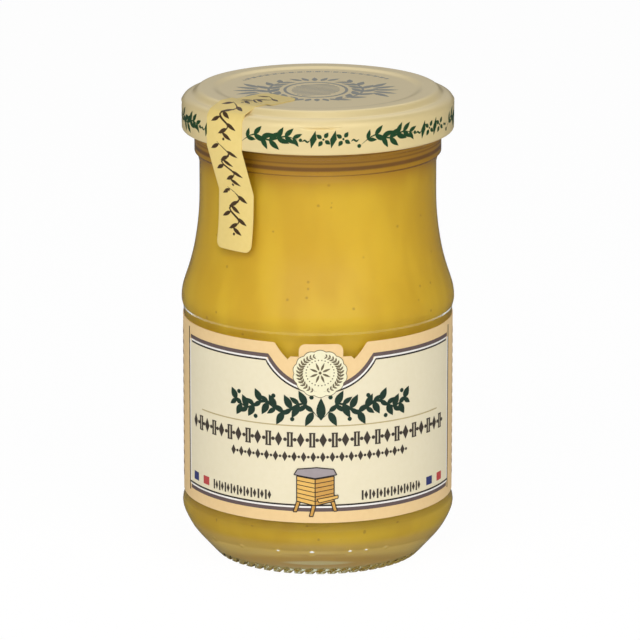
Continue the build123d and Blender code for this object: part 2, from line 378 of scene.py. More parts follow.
def mustard_outline():
    """Outline of the fill, from the middle of its underside to the middle of its top."""
    low, high = (corner.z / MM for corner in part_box("mustard"))
    outline = [(radius, low - WETTING) for radius in (0, 3, 7, 11, 15, 18)]
    corner = (16, low + 10)
    first, last = CORNER_TURNS
    for turn in steps(first, last, 5):
        met = meet("mustard", swung(corner, 40, turn), corner)
        reach = WETTING + CORNER_BULGE * sin(pi * (turn - first) / (last - first)) ** 2
        outline.append(met + (met - Vector(corner)).normalized() * reach)
    for height in [*steps(17, 54, 4), *steps(56, 86, 1.2), *steps(88, high - 0.2, 3)]:
        outline.append(side_of("mustard", height) + Vector((WETTING, 0)))
    outline.append((outline[-1][0] - 0.3, high))
    return thinned(outline + [(radius, high) for radius in (20, 14, 8, 3, 0)])


def make_mustard_material():
    """Yellow mustard with upright smears, soft clouds and fine darker specks, with painted shade and painted
    light by height.
    """
    material, tree, place = new_material("mustard")
    height, radius = located(tree, place)[2:]
    stretched = add(tree, "ShaderNodeMapping", {0: place, "Scale": (1, 1, 0.28)}).outputs[0]
    smears = ramp(tree, noise(tree, stretched, 110.0, 2.0), 0.36, 0.62)
    clouds = noise(tree, place, 45.0, 4.0)
    body = blend(tree, smears, linear(204, 159, 10), linear(219, 179, 30))
    body = blend(tree, product(tree, clouds, 0.6), body, linear(228, 191, 50))
    bran = add(tree, "ShaderNodeTexVoronoi", {"Vector": place, "Scale": 420.0})
    rare = add(tree, "ShaderNodeSeparateColor", {0: bran.outputs["Color"]}).outputs[0]
    speck = product(tree, math(tree, "LESS_THAN", bran.outputs["Distance"], 0.14),
                    math(tree, "GREATER_THAN", rare, 0.72))
    body = blend(tree, product(tree, speck, 0.4), body, linear(140, 94, 24))
    # Painted light: the fill is painted paler near the foot, where the thick base gathers light.
    foot = product(tree, ramp(tree, height, LIT_FOOT_FROM * MM, LIT_FOOT_TO * MM), 0.8)
    body = blend(tree, foot, body, linear(222, 184, 92))
    # Painted light on the underside, where light comes up through the base: it is pale at its rim, deeper
    # inside that and palest over the punt.
    rim = ramp(tree, radius, 17 * MM, 9 * MM)
    lit_underside = blend(tree, rim, linear(252, 216, 122), linear(226, 178, 60))
    lit_underside = blend(tree, ramp(tree, radius, 6 * MM, 3 * MM), lit_underside, linear(255, 238, 185))
    body = blend(tree, ramp(tree, height, LIT_UNDER_FROM * MM, LIT_UNDER_TO * MM), body, lit_underside)
    # Painted shade: the fill is painted browner towards its top, where the lid and its ring shade it.
    body = blend(tree, ramp(tree, height, LID_SHADE_FROM * MM, LID_SHADE_TO * MM), body, linear(182, 130, 10))
    # Painted shade: darker bands across the fill where the wall bends and where the label and the ring shade
    # it.
    for middle, spread, share in SHADE_LINES:
        away = math(tree, "ABSOLUTE", math(tree, "SUBTRACT", height, middle * MM))
        shade_line = product(tree, ramp(tree, away, spread * MM, 0.3 * spread * MM), share)
        body = blend(tree, shade_line, body, linear(116, 72, 4))
    show(tree, add(tree, "ShaderNodeBsdfPrincipled", {
        "Base Color": body,
        "Roughness": 0.5,
        "Normal": relief(tree, clouds, 0.15, 0.0005),
    }))
    return material


mustard_mesh = turned("mustard", mustard_outline(), MUSTARD_SEGMENTS)
mustard = new_piece("mustard_fill", mustard_mesh, make_mustard_material())
declare(mustard, "mustard", "mustard")


# ------------------------------------------------------------------------
# Lid: a twist-off cap pressed from tinplate and lacquered cream gold, with a raised ring, a
# rolled lower edge and four short creases where its lugs are pressed in. It is printed in green
# round the skirt and in grey on top.
LID_SEGMENTS = 360
LID_CURL = 0.65  # radius of the rolled lower edge
LID_WALL = 0.4  # thicker than the real sheet; it shows only inside the lid
CREASE_HALF_SWEEP = 9.0  # degrees
CREASE_HEIGHT = 103.9
CREASE_DEPTH = 0.75
CREASE_WIDTH = 0.22
CREASE_SWELL = 0.3  # how far the metal swells above a crease, as a share of its depth
SHOULDER_RADIUS = 28.9  # only the metal outside this is creased


def lid_outline():
    """Closed outline of the lid: over the top, down the skirt and up inside to its middle."""
    low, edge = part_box("lid")[0].z / MM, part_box("lid")[1].x / MM
    inside = edge - LID_WALL
    outline = [(0, top_of("lid", 0.01)[1])]
    outline += [top_of("lid", radius) for radius in [*steps(4, 20, 4), *steps(21, 29, 0.25)]]
    middle = (24, 101)
    for turn in [*steps(44, 33, 2), *steps(32, 20, 0.5), *steps(18, 8, 2)]:
        outline.append(meet("lid", swung(middle, 40, turn), middle))
    outline += [(edge, height) for height in steps(101.2, low + 2 * LID_CURL, 0.8)]
    outline += [swung((edge - LID_CURL, low + LID_CURL), LID_CURL, turn) for turn in steps(10, -250, 20)]
    outline += [(inside, low + 2 * LID_CURL + 0.3), (inside, 102.4), (28.2, 103.9), (27.9, 104.9)]
    return thinned(outline + [(23.8, 104.9), (23.2, 106), (12, 106), (0, 106)])


def make_crease_tree():
    """Presses four short level creases into the lid's shoulder, a quarter turn apart."""
    tree, sizes = geometry_tree(
        "lug_creases", Sweep=radians(CREASE_HALF_SWEEP), Height=CREASE_HEIGHT * MM,
        Depth=CREASE_DEPTH * MM, Width=CREASE_WIDTH * MM, Shoulder=SHOULDER_RADIUS * MM)
    x, y, z, radius = located(tree, add(tree, "GeometryNodeInputPosition").outputs[0])
    quarter = product(tree, math(tree, "ARCTAN2", y, x), 4)
    off = math(tree, "DIVIDE", math(tree, "ARCCOSINE", math(tree, "COSINE", quarter)), 4)
    along = math(tree, "DIVIDE", off, sizes["Sweep"])
    along = math(tree, "MAXIMUM", math(tree, "SUBTRACT", 1, product(tree, along, along)), 0)
    drop = math(tree, "DIVIDE", math(tree, "SUBTRACT", sizes["Height"], z), sizes["Width"])
    hollow = product(tree, drop, math(tree, "EXPONENT", product(tree, drop, drop, -0.5)))
    hollow = math(tree, "MAXIMUM", hollow, product(tree, hollow, CREASE_SWELL))
    outside = math(tree, "GREATER_THAN", radius, sizes["Shoulder"])
    depth = product(tree, hollow, along, sizes["Depth"], outside, -1)
    share = math(tree, "DIVIDE", depth, radius)
    inwards = add(tree, "ShaderNodeCombineXYZ", {0: product(tree, x, share), 1: product(tree, y, share)})
    return finish_tree(tree, shifted(tree, sizes["Geometry"], inwards), lid_material)


def make_lid_material():
    """Satin cream-gold lacquer over tinplate, a little uneven, as printed sheet metal is."""
    material, tree, place = new_material("cream_gold_lacquer")
    cast = noise(tree, place, 60.0, 2.0)
    show(tree, add(tree, "ShaderNodeBsdfPrincipled", {
        "Base Color": blend(tree, cast, linear(240, 217, 156), linear(246, 225, 168)),
        "Metallic": 0.2,
        "Roughness": 0.32,
        "Coat Weight": 0.5,
        "Coat Roughness": 0.12,
        "Normal": relief(tree, noise(tree, place, 2500.0, 2.0), 0.05, 0.00005),
    }))
    return material


lid_material = make_lid_material()
lid = new_piece("lid_tinplate", turned("lid", lid_outline(), LID_SEGMENTS, sharp=60), lid_material)
apply_tree(lid, make_crease_tree())
declare(lid, "lid_lacquer", "lid")

PRINT_LIFT = 0.015  # each layer of print stands this far off the one under it
OVERLAP_LIFT = 0.00006  # strokes of one print that cross lie this much above each other
SKIRT_REPEATS = 7
SKIRT_MIDDLE = 101.3  # middle of the skirt's band of print
EMBLEM_SIZE = 1.1
EMBLEM_MIDDLE = (-0.5, -1.5)
RING_MARKS = 19  # marks in the arc of print along the back of the panel
RING_PITCH = 6.2  # degrees
RING_RADIUS = 19.0
FLAT_STEP = 30  # print that lies flat need not be cut more often than this


def curved(points, spans=6):
    """Points on a smooth curve through the given points."""
    ends = [points[0]] + list(points) + [points[-1]]
    path = []
    for a, b, c, d in zip(ends, ends[1:], ends[2:], ends[3:]):
        a, b, c, d = (Vector(p) for p in (a, b, c, d))
        for i in range(spans):
            t = i / spans
            path.append(0.5 * (2 * b + (c - a) * t + (2 * a - 5 * b + 4 * c - d) * t * t
                               + (3 * b - a - 3 * c + d) * t ** 3))
    return [tuple(p) for p in path + [Vector(points[-1])]]


def ribbon(path, width, taper=0.0):
    """Outline of a stroke along a path; `taper` is the share of each end that narrows."""
    left, right = [], []
    count = len(path) - 1
    for i, point in enumerate(path):
        run = (Vector(path[min(i + 1, count)]) - Vector(path[max(i - 1, 0)])).normalized()
        half = width / 2
        if taper:
            half *= max(0.12, min(1, min(i, count - i) / count / taper))
        left.append(tuple(Vector(point) + Vector((-run[1], run[0])) * half))
        right.append(tuple(Vector(point) - Vector((-run[1], run[0])) * half))
    return left + right[::-1]


def level_line(left, right, height, width):
    """Outline of a level stroke."""
    return ribbon([(left, height), (right, height)], width)


def upright(arc, low, high, width):
    """Outline of an upright stroke."""
    return ribbon([(arc, low), (arc, high)], width)


def arc_points(middle, radius, first, last, count=16):
    """Points on an arc, with angles in degrees from the +arc direction."""
    return [swung(middle, radius, first + (last - first) * i / count) for i in range(count + 1)]


def circle(middle, radius, count=12):
    """Outline of a circle."""
    return arc_points(middle, radius, 0, 360, count)[:-1]


def lozenge(middle, width, height, lean=0.0):
    """Outline of a lozenge; its top leans sideways by `lean`."""
    x, y = middle
    return [(x + lean, y + height / 2), (x - width / 2, y), (x - lean, y - height / 2), (x + width / 2, y)]


def leaf(stalk, heading, length, width):
    """Pointed leaf outline that grows from its stalk; `heading` is in degrees."""
    along = Vector((cos(radians(heading)), sin(radians(heading))))
    side = Vector((-along[1], along[0]))
    shares = [i / 6 for i in range(7)]
    halves = [width / 2 * sin(pi * share ** 0.8) for share in shares]
    upper = [Vector(stalk) + along * length * t + side * half for t, half in zip(shares, halves)]
    lower = [Vector(stalk) + along * length * t - side * half for t, half in zip(shares, halves)]
    return [tuple(p) for p in upper + lower[-2:0:-1]]


def flower(middle, reach, petals, width, first=0.0):
    """Petals round a middle, a little apart there, with a dot in the middle."""
    outlines = [circle(middle, reach * 0.14, 8)]
    for i in range(petals):
        heading = first + 360 / petals * i
        outlines.append(leaf(swung(middle, reach * 0.22, heading), heading, reach * 0.78, width))
    return outlines


def sprig(path, size, stem=0.3, every=2, slant=40):
    """A stem with leaves in pairs that get smaller towards both of its ends."""
    outlines = [ribbon(path, stem, taper=0.3)]
    count = len(path) - 1
    for i in range(every, count, every):
        run = Vector(path[i + 1]) - Vector(path[i - 1])
        heading = degrees(atan2(run[1], run[0]))
        length = size * (0.6 + 0.4 * sin(pi * i / count))
        outlines += [leaf(path[i], heading + side * slant, length, length * 0.4) for side in (1, -1)]
    return outlines


def formed(name, outlines, thickness, material, place, step=1.0, across=None):
    """Thin closed bodies from flat outlines, bent into shape by `place(along, across, out)`."""
    made = bmesh.new()
    for i, outline in enumerate(outlines):
        made.faces.new([made.verts.new((along, i * OVERLAP_LIFT, side)) for along, side in outline])
    for axis, size in ((0, step), (2, across)):
        if not size:
            continue
        reach = [vert.co[axis] for vert in made.verts]
        normal = Vector((axis == 0, 0, axis == 2))
        for cut in steps(min(reach) + size / 2, max(reach) - size / 2, size):
            parts = [*made.verts, *made.edges, *made.faces]
            bmesh.ops.bisect_plane(made, geom=parts, plane_co=normal * cut, plane_no=normal)
    bmesh.ops.triangulate(made, faces=made.faces)
    raised = bmesh.ops.extrude_face_region(made, geom=made.faces[:])
    for part in raised["geom"]:
        if isinstance(part, bmesh.types.BMVert):
            part.co.y += thickness
    for vert in made.verts:
        vert.co = Vector(place(vert.co.x, vert.co.z, vert.co.y)) * MM
    return new_piece(name, finish_mesh(made, name), material)


def wrapped(name, outlines, radius, thickness, material):
    """Thin closed bodies from outlines of (arc, height); arcs run from the front towards +X."""
    def place(arc, height, out):
        return (radius + out) * sin(arc / radius), -(radius + out) * cos(arc / radius), height
    return formed(name, outlines, thickness, material, place)


def print_material(name, dark, light, roughness=0.5):
    """Printed or bare coated paper or lacquer, a little uneven between two close colours."""
    material, tree, place = new_material(name)
    fibres = noise(tree, place, 900.0, 3.0)
    show(tree, add(tree, "ShaderNodeBsdfPrincipled", {
        "Base Color": blend(tree, fibres, linear(*dark), linear(*light)),
        "Roughness": roughness,
        "Normal": relief(tree, fibres, 0.06, 0.0001),
    }))
    return material


def repeat(piece, count, turn, start=0.0, rise=0.0):
    """Copies a piece in a row round the jar: each copy is turned and lifted past the last."""
    tree, sizes = geometry_tree("copies_round", Count=count, Turn=turn, Start=start, Rise=rise * MM)
    index = add(tree, "GeometryNodeInputIndex").outputs[0]
    places = add(tree, "GeometryNodeMeshLine", {"Count": sizes["Count"], "Offset": (0, 0, 0)}).outputs[0]
    lift = add(tree, "ShaderNodeCombineXYZ", {2: product(tree, index, sizes["Rise"])})
    turned_by = math(tree, "MULTIPLY_ADD", index, sizes["Turn"], sizes["Start"])
    copies = add(tree, "GeometryNodeInstanceOnPoints", {
        "Points": shifted(tree, places, lift),
        "Instance": sizes["Geometry"],
        "Rotation": add(tree, "ShaderNodeCombineXYZ", {2: turned_by}).outputs[0],
    })
    apply_tree(piece, finish_tree(tree, copies.outputs[0], piece.data.materials[0]))


def skirt_motif():
    """One repeat of the skirt's print: a leafy sprig, a dash, lozenges with flowers and a dash."""
    z = SKIRT_MIDDLE
    bends = [(-18.4, z - 1.4), (-15.2, z + 0.5), (-11.6, z - 0.5), (-8.0, z + 0.5), (-4.9, z - 0.2)]
    outlines = sprig(curved(bends, 4), 3.1, stem=0.4)
    outlines += [circle((-18.9, z - 1.7), 0.45), circle((-4.5, z - 0.2), 0.4)]
    for i in range(2):
        outlines.append(lozenge((-1.7 + i * 4.4, z), 1.5, 4.0, lean=0.5))
        outlines += flower((0.5 + i * 4.4, z), 1.9, 4, 0.95, first=55)
    wave = ((-0.9, 0.6), (-0.3, 0.2), (0.3, 0.6), (0.9, 0.2))
    for middle in (-3.3, 7.5):
        dash = curved([(middle + along, z - drop) for along, drop in wave], 3)
        outlines.append(ribbon(dash, 0.42, taper=0.3))
    return outlines


green_print = print_material("lid_print_green", (18, 58, 28), (30, 76, 40), 0.4)
skirt_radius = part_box("lid")[1].x / MM - PRINT_LIFT
skirt_print = wrapped("lid_print_skirt", skirt_motif(), skirt_radius, 2.5 * PRINT_LIFT, green_print)
repeat(skirt_print, SKIRT_REPEATS, 2 * pi / SKIRT_REPEATS)
declare(skirt_print, "lid_lacquer")


def emblem_outlines():
    """A striped oval between two leafy branches, with a spray of leaves at each side."""
    outlines = []
    for i in range(-4, 5):
        reach = 4.9 * sqrt(1 - (i / 5) ** 2)
        outlines.append(ribbon([(-reach, i * 1.25 - 0.6), (reach, i * 1.25 + 0.6)], 0.5))
    rim = [(6.3 * cos(2 * pi * i / 40), 7.6 * sin(2 * pi * i / 40)) for i in range(41)]
    outlines += [ribbon(rim[i:i + 2], 0.6) for i in range(40)]
    for side in (1, -1):
        branch = [(side * 9.6 * cos(radians(turn)), 10.6 * sin(radians(turn))) for turn in range(-84, 61, 9)]
        outlines += sprig(branch, 4.3, stem=0.5)
        for i in range(-2, 3):
            outlines.append(leaf((side * 11.6, -0.5 + 1.4 * i), 90 - side * (90 - 27 * i), 5.2, 1.5))
    outlines += [leaf((1.3 * i, 9.0), 90 - 24 * i, 3.4, 1.2) for i in range(-2, 3)]
    outlines += [leaf((1.3 * i, -9.0), -90 + 24 * i, 2.6, 1.2) for i in range(-2, 3)]
    middle_x, middle_y = EMBLEM_MIDDLE
    return [[(EMBLEM_SIZE * x + middle_x, EMBLEM_SIZE * y + middle_y) for x, y in outline]
            for outline in outlines]


def print_on_top(name, outlines):
    """Grey print that lies flat on the lid's panel."""
    height = top_of("lid", 5)[1] - PRINT_LIFT
    return formed(name, outlines, 2 * PRINT_LIFT, grey_print, lambda x, y, out: (x, y, height + out),
                  FLAT_STEP)


grey_print = print_material("lid_print_grey", (128, 130, 124), (146, 146, 138), 0.4)
declare(print_on_top("lid_print_emblem", emblem_outlines()), "lid_lacquer")
ring_marks = [level_line(-0.55, 0.15, -RING_RADIUS, 0.9), circle((0.62, -RING_RADIUS), 0.2, 6)]
ring_marks.append(lozenge((1.25, -RING_RADIUS), 0.5, 1.3))
ring_print = print_on_top("lid_print_ring", ring_marks)
repeat(ring_print, RING_MARKS, radians(RING_PITCH), pi - radians(RING_PITCH) * (RING_MARKS - 1) / 2)
declare(ring_print, "lid_lacquer")


# ------------------------------------------------------------------------
# Label: one strip of coated paper glued round the straight panel of the jar, die-cut along the
# middle of its upper edge. A peach ground carries a cream field inside a double frame.
LABEL_THICKNESS = 0.12
LABEL_HALF_WRAP = 166.0  # degrees
NOTCH_ARC = 7.45
NOTCH_DEPTH = 3.7
SHELF_ARC = 6.75
SHELF_DEPTH = 3.0
TAB_ARC = 4.9
TAB_ROUNDING = 1.5

FRAME_SIDE = 38.3  # middle of the frame's upright lines, from the label's middle
FRAME_TOP = 52.2
FRAME_BOTTOM = 17.25
SCOOP_MIDDLE = (0.0, 58.7)  # centre of the arc that the frame dips along under the badge
SCOOP_RADIUS = 13.6
THICK_LINE = 0.85
THIN_LINE = 0.36
LINE_SPACING = 1.02
GAP_SPACING = 0.62 * LINE_SPACING  # the white gap between the two lines


def label_outline():
    """The paper laid flat, with the shaped upper edge in the middle of the front."""
    low, high = (corner.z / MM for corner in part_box("paper_label"))
    end = radians(LABEL_HALF_WRAP) * label_radius
    right = curved([(NOTCH_ARC, high - NOTCH_DEPTH), (9.0, high - 2.0), (10.1, high - 0.45)], 4)
    right += curved([(10.35, high - 0.12), (10.7, high)], 2)
    shelf = [(TAB_ARC, high - SHELF_DEPTH), (SHELF_ARC, high - SHELF_DEPTH)]
    tab = arc_points((TAB_ARC - TAB_ROUNDING, high - 0.1 - TAB_ROUNDING), TAB_ROUNDING, 90, 0, 6)
    half = tab + shelf + right + [(end, high)]
    return [(-arc, height) for arc, height in half[::-1]] + half + [(end, low), (-end, low)]


def frame_path(offset):
    """The frame's upper line, from left to right, `offset` below and inside its middle line."""
    height = FRAME_TOP - offset
    radius = SCOOP_RADIUS + offset
    turn = degrees(acos(sqrt(radius ** 2 - (SCOOP_MIDDLE[1] - height) ** 2) / radius))
    side = FRAME_SIDE - offset * 0.7 - 1.0
    scoop = arc_points(SCOOP_MIDDLE, radius, 180 + turn, 360 - turn, 28)
    return [(-side, height)] + scoop + [(side, height)]


def printed(name, outlines, layer, ink, **copies):
    """Print on the front of the label, `layer` print layers above the paper, once or in copies."""
    piece = wrapped(name, outlines, ground, (layer + 1) * PRINT_LIFT, inks[ink])
    if copies:
        repeat(piece, **copies)
    declare(piece, "label_paper")


label_radius = side_of("paper_label", 30)[0] - LABEL_THICKNESS
ground = label_radius + LABEL_THICKNESS - PRINT_LIFT
# Each colour of paper and print, as a darker and a lighter tone.
inks = {name: print_material("label_" + name, dark, light) for name, dark, light in (
    ("paper_peach", (236, 201, 143), (243, 210, 154)),
    ("cream", (233, 222, 188), (238, 228, 198)),
    ("line_grey", (98, 82, 80), (110, 93, 90)),
    ("line_black", (40, 34, 30), (56, 48, 42)),
    ("line_white", (240, 236, 228), (248, 245, 240)),
    ("print_green", (24, 48, 36), (38, 66, 50)),
    ("print_brown", (58, 50, 42), (78, 68, 58)),
    ("print_gold", (184, 166, 118), (200, 182, 134)),
    ("print_blue", (44, 52, 110), (58, 66, 124)),
    ("print_red", (186, 62, 62), (200, 76, 74)),
    ("badge_cream", (236, 229, 190), (243, 237, 204)),
    ("badge_ink", (96, 84, 58), (120, 106, 76)),
    ("hive_wood", (226, 176, 86), (240, 194, 104)),
    ("hive_shade", (200, 148, 66), (216, 164, 80)),
    ("hive_roof", (156, 146, 148), (170, 160, 162)),
    ("print_side", (140, 108, 82), (160, 128, 100)),
)}

label = wrapped("label_paper", [label_outline()], label_radius, LABEL_THICKNESS, inks["paper_peach"])
declare(label, "label_paper", "paper_label")

side, high, low = FRAME_SIDE - 0.4, FRAME_TOP - LINE_SPACING, FRAME_BOTTOM + LINE_SPACING
field = frame_path(LINE_SPACING) + [(side, high), (side, low), (-side, low), (-side, high)]
printed("label_cream_field", [field], 1, "cream")

side, high, low = FRAME_SIDE, FRAME_TOP, FRAME_BOTTOM
thick = [ribbon(frame_path(0), THICK_LINE), level_line(-side + 1, side - 1, low, THICK_LINE)]
printed("label_frame_thick", thick, 3, "line_grey")
thin = [ribbon(frame_path(LINE_SPACING), THIN_LINE), level_line(-side, side, low + LINE_SPACING, THIN_LINE)]
thin += [upright(arc, low - 1, high + 2, THIN_LINE) for arc in (-side, side)]
printed("label_frame_thin", thin, 4, "line_black")
gap = [ribbon(frame_path(GAP_SPACING), 0.5), level_line(-side + 0.7, side - 0.7, low + GAP_SPACING, 0.5)]
gap += [upright(arc, low + 0.6, high - 0.6, 0.6) for arc in (-side + 0.6, side - 0.6)]
printed("label_frame_gap", gap, 2, "line_white")

NAME_MIDDLE = 40.6  # middle of the leafy vine in the place of the name
WIDE_ROW, NARROW_ROW, SMALL_ROWS = 33.3, 29.4, 20.2  # heights of the rows of marks
BADGE = (-0.2, 48.5)
BADGE_REACH, BADGE_RISE = 5.7, 5.0
BADGE_SCALLOPS = 14
HIVE_MIDDLE = -1.2
HIVE_LINE = 0.22  # outline of the hive


def vine_half(side):
    """Half of the vine: a waving stem with leaves and berries from the middle outwards."""
    z = NAME_MIDDLE
    stem = curved([(0.7, z - 2.0), (4.0, z + 1.0), (8.4, z - 1.0), (12.8, z + 1.1), (17.0, z - 0.8),
                   (20.4, z + 0.9)], 5)
    outlines = [ribbon(stem, 0.7, taper=0.3)]
    for i, point in enumerate(stem[2:-1:2]):
        up = 1 if i % 2 else -1
        size = 3.9 - 0.05 * point[0]
        outlines.append(leaf(point, up * 62, size, 1.65))
        outlines.append(leaf(point, -up * 36, size * 0.74, 1.15))
    outlines += [circle((2.1 + 4.3 * i, z + (-2.6 if i % 2 else 2.5)), 0.5, 10) for i in range(5)]
    return [[(side * arc, height) for arc, height in outline] for outline in outlines]


def printed_row(name, marks, count, pitch, first):
    """A row of marks on the label: `marks` stand at the front and are repeated round it."""
    printed(name, marks, 4, "print_brown", count=count, turn=pitch / label_radius,
            start=first / label_radius)


vine = vine_half(1) + vine_half(-1) + [leaf((0, NAME_MIDDLE - 2.8), 90, 5.2, 2.1)]
printed("label_vine", vine, 4, "print_green")
printed("label_rule", [level_line(-31.6, 31.6, 36.5, 0.26)], 4, "print_gold")

z = WIDE_ROW
marks = [lozenge((0, z), 1.7, 3.2), circle((1.5, z), 0.42, 10), circle((3.7, z), 0.42, 10)]
marks += [upright(arc, z - 1.45, z + 1.45, 0.5) for arc in (2.2, 3.0)]
marks += [level_line(1.9, 3.3, z + rise, 0.26) for rise in (1.55, -1.55)]
printed_row("label_row_wide", marks, 14, 4.98, -34.4)
marks = [lozenge((0, NARROW_ROW), 1.25, 2.3), circle((1.05, NARROW_ROW), 0.32, 10)]
printed_row("label_row_narrow", marks, 20, 2.12, -20.8)
z = SMALL_ROWS
marks = [upright(0, z - 1.1, z + 1.1, 0.42), lozenge((0.85, z), 0.85, 2.0)]
printed_row("label_row_left", marks, 9, 1.8, -26.9)
printed_row("label_row_right", marks, 9, 1.8, 9.4)

for colour, lefts in (("blue", (-35.5, 27.4)), ("red", (-31.1, 31.8))):
    blocks = [[(left, 19.4), (left + 2.2, 19.4), (left + 2.2, 21.3), (left, 21.3)] for left in lefts]
    printed("label_blocks_" + colour, blocks, 4, "print_" + colour)


def badge_outline(grown):
    """Closed outline of the badge: an oval with a scalloped edge, `grown` larger all round."""
    outline = []
    for i in range(BADGE_SCALLOPS * 8):
        turn = 2 * pi * i / (BADGE_SCALLOPS * 8)
        swell = 0.32 * abs(sin(turn * BADGE_SCALLOPS / 2)) + grown
        reach, rise = BADGE_REACH + swell, BADGE_RISE + swell
        outline.append((BADGE[0] + reach * cos(turn), BADGE[1] + rise * sin(turn)))
    return outline


def badge_print():
    """Fine print on the badge: a flower in a ring of beads, between two sprigs."""
    x, y = BADGE
    outlines = flower((x, y + 0.2), 2.5, 8, 0.5, first=22.5)
    turns = [2 * pi * i / 26 for i in range(26)]
    outlines += [circle((x + 3.1 * cos(t), y + 0.2 + 2.9 * sin(t)), 0.16, 6) for t in turns]
    for side in (1, -1):
        branch = [(x + side * 4.5 * cos(radians(t)), y + 4.1 * sin(radians(t))) for t in range(-80, 81, 10)]
        outlines += sprig(branch, 1.15, stem=0.16, every=1, slant=48)
    return outlines


printed("label_badge_edge", [badge_outline(0.14)], 5, "badge_ink")
printed("label_badge", [badge_outline(0.0)], 6, "badge_cream")
printed("label_badge_print", badge_print(), 7, "badge_ink")


def outlined(outlines, width=HIVE_LINE):
    """Strokes that run round each of the closed outlines."""
    return [ribbon([a, b], width) for outline in outlines for a, b in zip(outline, outline[1:] + outline[:1])]


def hive_parts():
    """A plain slatted box hive seen from one corner: its two walls, roof, board, legs and slats."""
    left, middle, right = HIVE_MIDDLE - 4.2, HIVE_MIDDLE - 0.1, HIVE_MIDDLE + 4.1
    near, far, foot = 24.3, 25.0, 18.2
    walls = [[(left, far), (left, foot + 1.0), (middle, foot), (middle, near)],
             [(middle, near), (middle, foot), (right, foot + 1.0), (right, far)]]
    roof = [[(left - 0.6, far + 0.3), (middle, near + 0.2), (right + 0.6, far + 0.3),
             (right - 0.1, far + 1.6), (middle + 0.4, far + 2.0), (left + 0.2, far + 1.6)]]
    board = [[(middle + 0.4, foot + 1.5), (right + 0.9, foot + 2.4), (right + 0.9, foot + 1.7),
              (middle + 0.9, foot + 0.7)]]
    stands = ((left + 0.5, foot + 1.2, left - 0.4, 16.7), (middle - 0.2, foot + 0.3, middle - 0.9, 15.7),
              (right - 0.4, foot + 1.2, right + 0.3, 16.9))
    legs = [[(head - 0.45, top), (toe - 0.4, low), (toe + 0.4, low), (head + 0.45, top)]
            for head, top, toe, low in stands]
    slats = []
    for drop in [i * (near - foot) / 6 for i in range(1, 6)]:
        side, bend = far - drop * 0.95, (middle, near - drop)
        slats += [ribbon([(left, side), bend], 0.17), ribbon([bend, (right, side)], 0.17)]
    return walls, roof, board, legs, slats


hive_walls, hive_roof, hive_board, hive_legs, hive_slats = hive_parts()
for part, outlines, layer, ink in (
    ("legs", hive_legs, 6, "hive_shade"),
    ("leg_lines", outlined(hive_legs), 7, "line_black"),
    ("wall_left", hive_walls[:1], 8, "hive_wood"),
    ("wall_right", hive_walls[1:], 8, "hive_shade"),
    ("roof", hive_roof, 8, "hive_roof"),
    ("lines", hive_slats + outlined(hive_walls + hive_roof), 9, "line_black"),
    ("board", hive_board, 10, "hive_wood"),
    ("board_lines", outlined(hive_board, 0.18), 11, "line_black"),
):
    printed("label_hive_" + part, outlines, layer, ink)

# The two side panels carry rows of short strokes where a maker prints the small text.
side_strokes = []
reach = 44.6
for length in (3.2, 1.6, 4.4, 2.4, 3.8, 1.2, 5.0, 2.8):
    side_strokes.append(level_line(reach, reach + length, 18.2, 0.95))
    reach += length + 0.9
mirrored = [[(-arc, height) for arc, height in outline] for outline in side_strokes]
for name, strokes in (("label_rows_left", mirrored), ("label_rows_right", side_strokes)):
    printed(name, strokes, 3, "print_side", count=15, turn=0.0, rise=2.35)


# ------------------------------------------------------------------------
# Seal strip: a narrow strip of cream paper glued over the edge of the lid and down the neck.
# It lies flat on the lid's ring and skirt and spans the hollow under the lid's edge.
STRIP_WIDTH = 10.6
STRIP_AZIMUTH = 44.4  # degrees from the front, towards -X
STRIP_SKEW = 0.9  # degrees that each end is turned from there, the tip to the front
STRIP_THICKNESS = 0.12
STRIP_SINK = 0.02  # the visual strip lies this much closer than its CAD piece
STRIP_TIP_ROUNDING = 3.6
STRIP_END_ROUNDING = 1.6
STRIP_MOTIFS = 4

strip_turn = radians(-90 - STRIP_AZIMUTH)


def strip_line():
    """Upper side of the strip along its middle, from its tip on the lid to its lower end."""
    eye = (6, 86)
    line = []
    for i in range(1200):
        point = meet("seal_strip", swung(eye, 90, 86 - i * 0.1), eye, strip_turn)
        if point is not None and (not line or (point - line[-1]).length > 0.25):
            line.append(point)
    return line


def along_strip(line):
    """Lays (distance from the tip, distance to the side) on the strip's upper side."""
    travelled = [0.0]
    for a, b in zip(line, line[1:]):
        travelled.append(travelled[-1] + (b - a).length)

    def place(along, side, out):
        along = min(max(along, 0.001), travelled[-1] - 0.001)
        i = next(k for k, far in enumerate(travelled) if far >= along)
        share = (along - travelled[i - 1]) / (travelled[i] - travelled[i - 1])
        a, b = line[i - 1], line[i]
        before, after = line[max(i - 2, 0)], line[min(i + 1, len(line) - 1)]
        run = (b - before).normalized().lerp((after - a).normalized(), share).normalized()
        point = a.lerp(b, share) + Vector((-run[1], run[0])) * (out - STRIP_SINK)
        skew = radians(STRIP_SKEW) * (1 - 2 * along / travelled[-1])
        turn = strip_turn + skew + asin(max(-1, min(1, side / point[0])))
        return point[0] * cos(turn), point[0] * sin(turn), point[1]
    return place, travelled[-1]


def on_strip(name, outlines, thickness, sunk, material):
    """Thin closed bodies bent along the strip; `sunk` of their thickness lies below its surface."""
    return formed(name, outlines, thickness, material,
                  lambda along, side, out: strip_place(along, side, out - sunk), 0.5, 1.0)


def strip_motif(first):
    """One repeat of the strip's print: a slanting stem with bold leaves and a dot."""
    bends = [(first, -1.9), (first + 2.5, 1.5), (first + 5.0, -1.5), (first + 7.5, 1.5), (first + 9.6, -0.8)]
    stem = curved(bends, 4)
    outlines = [ribbon(stem, 0.5, taper=0.3)]
    for i, point in enumerate(stem[1:-1:2]):
        outlines.append(leaf(point, 62 if i % 2 else -62, 3.1, 0.95))
    return outlines + [circle((first + 10.6, 0.2), 0.34, 8)]


